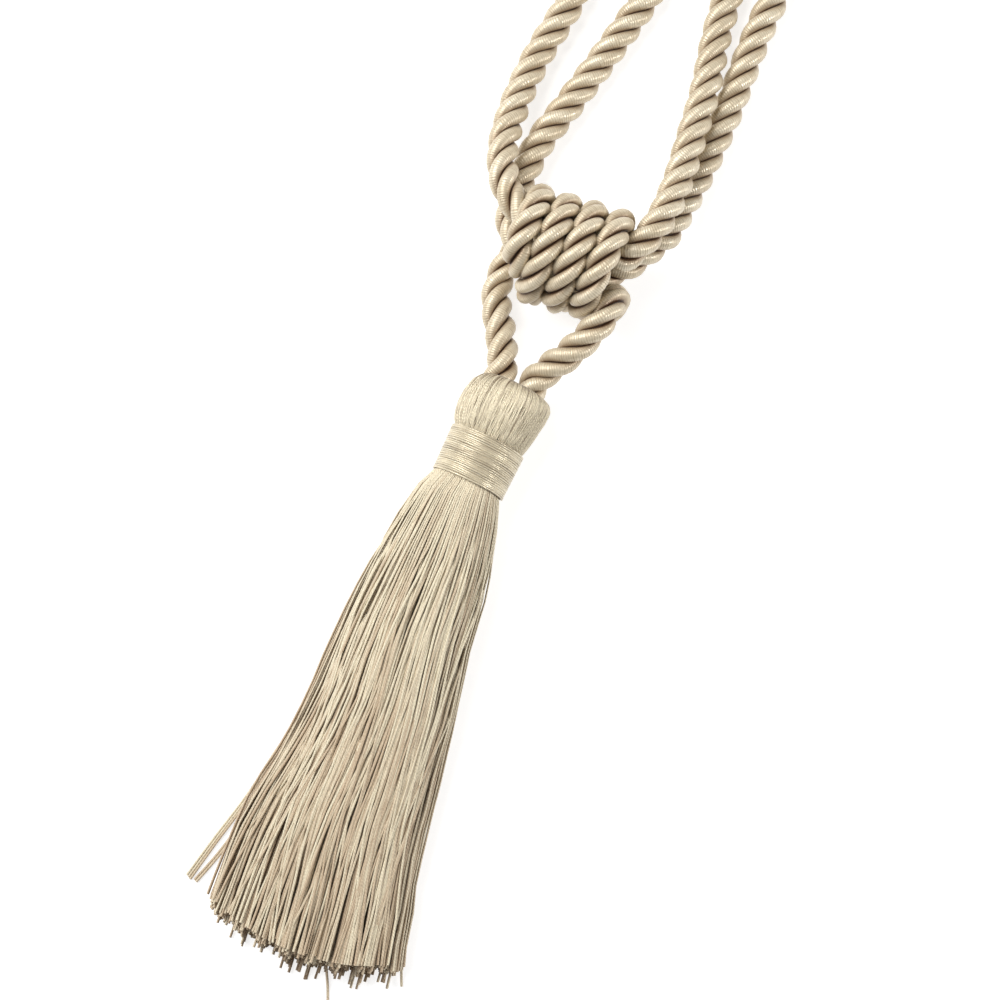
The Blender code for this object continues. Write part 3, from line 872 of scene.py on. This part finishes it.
def add_loose_threads(material):
    """Threads that lie across the skirt, and some that have come out of it."""
    chance = np.random.default_rng(14)
    even = np.linspace(0.0, 1.0, STRAY_ROWS)
    lines = []
    for _ in range(CROSSINGS):
        start = chance.uniform(*CROSS_START)
        share = chance.uniform(-0.85, 0.85)
        drift = chance.uniform(*CROSS_DRIFT) * chance.choice((-1.0, 1.0))
        share = share + drift * (even - 0.5) + 0.015 * np.sin(even * 7.0 + start * 300.0)
        share = np.clip(share, -CROSS_EDGE, CROSS_EDGE)
        cut = SKIRT[-1].y + END_STEP * 0.5 + END_BOW * share[-1] ** 2
        whole = chance.random() < CROSS_WHOLE
        end = cut if whole else max(start - chance.uniform(*CROSS_LENGTH), cut + 0.003)
        place = on_skirt(start + (end - start) * even, share)
        rise = np.clip(np.minimum(even, 1.0 if whole else 1.0 - even) / 0.2, 0.0, 1.0)
        place[:, 2] += chance.uniform(*CROSS_RISE) * np.sin(rise * math.pi / 2) - CROSS_SINK
        lines.append(place)
    for number, points in enumerate(STRAYS):
        route = smooth_route([(*point, STRAY_RADIUS) for point in points])
        reach = np.linspace(0.0, 1.0, len(route))
        for side in range(STRAY_BUNCH[number]):
            place = np.stack([np.interp(even, reach, route[:, k]) for k in range(3)], axis=1)
            place[:, 0] += side * STRAY_SIDE * (0.6 + 0.5 * even)
            place[:, 1] -= side * STRAY_SIDE * (0.3 + 0.4 * even)
            lines.append(place)
    lines = np.array(lines)
    thick = chance.uniform(*LOOSE_THICK, len(lines))[:, None, None]
    lines = np.concatenate([lines, np.broadcast_to(thick, (*lines.shape[:2], 1))], axis=-1)
    under = np.zeros_like(lines[..., :3])
    under[..., 2] = -1.0
    # painted shade, tan further below the neck
    tan_and_shade = LOOSE_LOW_SHADE_MOST * np.clip((NECK_Y - lines[..., 1]) / LOOSE_LOW_SHADE_OVER, 0.0, 1.0)
    marks = {
        "tone": chance.random(len(lines))[:, None, None],
        "tan_and_shade": tan_and_shade[..., None],
        "inward": facing(LOOSE_SIDES),
    }
    piece = tubes("loose_threads", lines, under, LOOSE_SIDES, material, marks)


# ---- head and binding ----


def skewed(along, radius, angle):
    """Distance along the head, higher on its right side and lower on its left."""
    share = np.clip((along - HEAD_FOOT) / (HEAD_TOP - HEAD_FOOT), 0.0, 1.0)
    return along + HEAD_SKEW * np.sin(math.pi * share) * np.cos(angle) * radius / HEAD_WIDEST


def round_place(along, radius, angle):
    """A point round the leaning axis: angle 0 is to the right, a quarter turn is the top."""
    ring = np.cos(angle)[..., None] * LEAN_SIDE + np.sin(angle)[..., None] * np.array((0.0, 0.0, 1.0))
    return NECK_CENTRE + along[..., None] * LEAN_AXIS + radius[..., None] * ring, ring


def add_head(material):
    chance = np.random.default_rng(13)
    reach = np.linspace(0.0, 1.0, len(HEAD_PROFILE))
    share = np.linspace(0.0, 1.0, HEAD_ROWS)
    along, radius = (np.interp(share, reach, HEAD_PROFILE[:, k]) for k in range(2))
    spacing = 2 * math.pi / HEAD_THREADS
    angle = (np.arange(HEAD_THREADS) + chance.uniform(-0.25, 0.25, HEAD_THREADS)) * spacing
    drift = 0.03 * np.sin(angle * 5.0 + 1.0) + 0.018 * np.sin(angle * 11.0 + 2.2)
    angle = angle[:, None] + drift[:, None] * np.sin(share * math.pi)
    angle = angle + swaying(chance, HEAD_THREADS, HEAD_ROWS, 0.22) * spacing
    thick = np.broadcast_to(radius * spacing * HEAD_FILL, angle.shape)
    lift = np.clip(swaying(chance, HEAD_THREADS, HEAD_ROWS, 0.34), -0.8, 0.5) * thick
    place, ring = round_place(skewed(along, radius, angle), radius - thick + lift, angle)
    lines = np.concatenate([place, thick[..., None]], axis=-1)
    # painted shade: brown where the threads fold into the crown, mottled from thread to thread
    crown_shade = np.clip((share - CROWN_SHADE_FROM) / CROWN_SHADE_OVER, 0.0, 1.0)
    crown_shade = crown_shade * chance.uniform(0.5, 1.2, (HEAD_THREADS, 1))
    hollow_shade = np.clip((share - 0.66) / 0.25, 0.0, 1.0)[None, :, None]  # painted shade where the threads turn in
    marks = {
        "tone": chance.random(HEAD_THREADS)[:, None, None],
        "tan_and_shade": (0.05 + crown_shade)[..., None],
        "inward": np.maximum(facing(HEAD_SIDES), hollow_shade),
    }
    piece = tubes("head_threads", lines, -ring, HEAD_SIDES, material, marks)
    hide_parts("tassel_bundle")


def add_head_core(material):
    """The inner threads of the head, which close the gaps between the outer ones."""
    mesh = bmesh.new()
    along, radius = HEAD_PROFILE.T
    place, _ = round_place(along, radius - CORE_UNDER, np.zeros(len(along)))
    verts = [mesh.verts.new(p) for p in place]
    edges = [mesh.edges.new(pair) for pair in zip(verts, verts[1:])]
    bmesh.ops.spin(
        mesh,
        geom=verts + edges,
        cent=Vector(NECK_CENTRE),
        axis=Vector(LEAN_AXIS),
        angle=2 * math.pi,
        steps=CORE_STEPS,
        use_merge=True,
    )
    for vert in mesh.verts:
        offset = np.array(vert.co) - NECK_CENTRE
        along, aside = offset @ LEAN_AXIS, offset @ LEAN_SIDE
        radius = math.hypot(aside, offset[2])
        vert.co += Vector(LEAN_AXIS) * float(skewed(along, radius, math.atan2(offset[2], aside)) - along)
    bmesh.ops.remove_doubles(mesh, verts=mesh.verts, dist=MERGE)
    bmesh.ops.holes_fill(mesh, edges=[e for e in mesh.edges if e.is_boundary], sides=0)
    bmesh.ops.recalc_face_normals(mesh, faces=mesh.faces)
    piece = finished("head_inner_threads", mesh, material)


def add_binding(material):
    """One thread wound round the neck, turn against turn."""
    turns = (BIND_TO - BIND_FROM) / BIND_PITCH
    angle = np.linspace(0.0, 2 * math.pi * turns, round(turns * BIND_STEPS) + 1)
    share = np.linspace(0.0, 1.0, len(angle))
    wander = 0.00006 * np.sin(angle * 3.0 + 9.0 * share) + 0.00005 * np.sin(angle * 2.0 - 30.0 * share)
    along = BIND_FROM + (BIND_TO - BIND_FROM) * share + wander
    radius = BIND_LOW + (BIND_HIGH - BIND_LOW) * share + 0.00004 * np.sin(angle * 0.37)
    place, ring = round_place(along, radius, angle)
    thick = np.full((len(angle), 1), BIND_THREAD)
    lines = np.concatenate([place, thick], axis=-1)[None]
    turn_tones = np.random.default_rng(15).uniform(*BIND_TONES, int(turns) + 2)
    tone = np.interp(angle / (2 * math.pi), np.arange(len(turn_tones)), turn_tones)
    marks = {
        "tone": tone[None, :, None],
        "tan_and_shade": np.full((1, 1, 1), BIND_WARMTH),
        "inward": facing(BIND_SIDES),
    }
    piece = tubes("binding_thread", lines, -ring[None], BIND_SIDES, material, marks)
    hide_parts("neck_binding")


# ---- floor and light ----


def add_floor():
    mesh = bmesh.new()
    bmesh.ops.create_grid(mesh, x_segments=1, y_segments=1, size=FLOOR_HALF)
    data = bpy.data.meshes.new("floor")
    mesh.to_mesh(data)
    mesh.free()
    data.materials.append(floor_finish())
    floor = bpy.data.objects.new("floor", data)
    bpy.context.scene.collection.objects.link(floor)


def add_light(name, offset, size, watts):
    """A soft light, this far from the tassel, pointed at it. size is its width and height."""
    data = bpy.data.lights.new(name, "AREA")
    data.shape = "RECTANGLE"
    data.size, data.size_y = size
    data.energy = watts
    light = bpy.data.objects.new(name, data)
    light.location = AIM + offset
    light.rotation_euler = (-offset).to_track_quat("-Z", "Y").to_euler()
    bpy.context.scene.collection.objects.link(light)


def add_lights(right, up):
    """Softboxes to the left and right of the camera, and an even pale room."""
    top = Vector((0.0, 0.0, 1.0))
    for name, (x, y, z), size, watts in (
        ("key", KEY_PLACE, KEY_SIZE, KEY_WATTS),
        ("edge", EDGE_PLACE, EDGE_SIZE, EDGE_WATTS),
    ):
        add_light(name, right * x + up * y + top * z, size, watts)
    world = bpy.data.worlds.new("studio")
    world.use_nodes = True
    background = world.node_tree.nodes["Background"]
    background.inputs["Color"].default_value = (*WHITE, 1.0)
    background.inputs["Strength"].default_value = ROOM_LIGHT
    bpy.context.scene.world = world
    bpy.context.scene.view_settings.view_transform = "Standard"


view_right, view_up = add_camera()
satin_cord = cord_finish()
skirt_thread = thread_finish(
    "skirt_thread", TAN, twist=TWIST, roughness=0.48, metallic=0.0, hollow_shade=(0.14, 0.85)
)
head_thread = thread_finish(
    "head_thread", BROWN, twist=TWIST, roughness=0.40, metallic=0.2, hollow_shade=(0.25, 1.0)
)
binding_thread = thread_finish(
    "binding_thread", BROWN, twist=0.0, roughness=0.30, metallic=0.3, hollow_shade=(0.22, 0.95)
)
add_cords(satin_cord)
add_skirt(skirt_thread)
add_loose_threads(skirt_thread)
add_head(head_thread)
add_head_core(inner_shade_finish())
add_binding(binding_thread)
add_floor()
add_lights(view_right, view_up)
